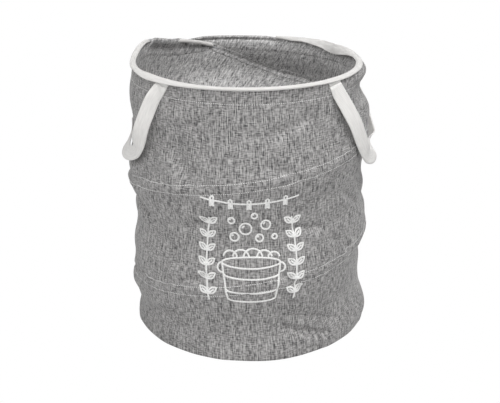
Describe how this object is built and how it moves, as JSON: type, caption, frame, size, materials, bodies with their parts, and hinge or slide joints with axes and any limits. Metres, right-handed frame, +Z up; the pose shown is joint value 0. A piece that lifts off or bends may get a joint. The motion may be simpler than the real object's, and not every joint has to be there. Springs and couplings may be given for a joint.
{
  "type": "pop up laundry hamper",
  "caption": "Round fabric laundry hamper held open by one coiled spring wire, with a bound rim and two webbing carry handles; it flattens when pressed down.",
  "frame": {"origin": "on the floor at the centre of the base", "axes": "+Z up along the hamper's axis, front towards -Y, handles at -X and +X"},
  "size_m": [0.4238, 0.399, 0.45],
  "materials": {
    "cloth": "melange woven cloth",
    "tape": "matt woven tape",
    "webbing": "matt woven webbing",
    "spring_steel": "drawn wire",
    "sleeve": "moulded"
  },
  "bodies": {
    "base": {"base_panel": "cloth", "wall_panel": "cloth", "base_seam_tape": "tape", "wire_bottom_loop": "spring_steel", "wire_bottom_sleeve": "sleeve", "wire_coil": "spring_steel", "coil_casing": "cloth"},
    "rim": {"top_binding": "tape", "rim_facing": "cloth", "wire_top_loop": "spring_steel", "wire_top_sleeve": "sleeve", "left_handle_front_tab": "webbing", "left_handle_rear_tab": "webbing", "right_handle_front_tab": "webbing", "right_handle_rear_tab": "webbing"},
    "left_loop": {"left_handle": "webbing"},
    "right_loop": {"right_handle": "webbing"}
  },
  "joints": [
    {"name": "collapse", "type": "slide", "parent": "base", "child": "rim", "axis": [0, 0, -1], "range_m": [0, 0.38], "stiffness_N_per_m": 60, "springref_m": -0.05, "deforming": ["wall_panel", "wire_coil", "coil_casing"]},
    {"name": "left_handle_swing", "type": "hinge", "parent": "rim", "child": "left_loop", "pos_m": [-0.1302, 0, 0.4377], "axis": [0, 1, 0], "range_deg": [0, 155]},
    {"name": "right_handle_swing", "type": "hinge", "parent": "rim", "child": "right_loop", "pos_m": [0.1302, 0, 0.4377], "axis": [0, -1, 0], "range_deg": [0, 155]}
  ]
}
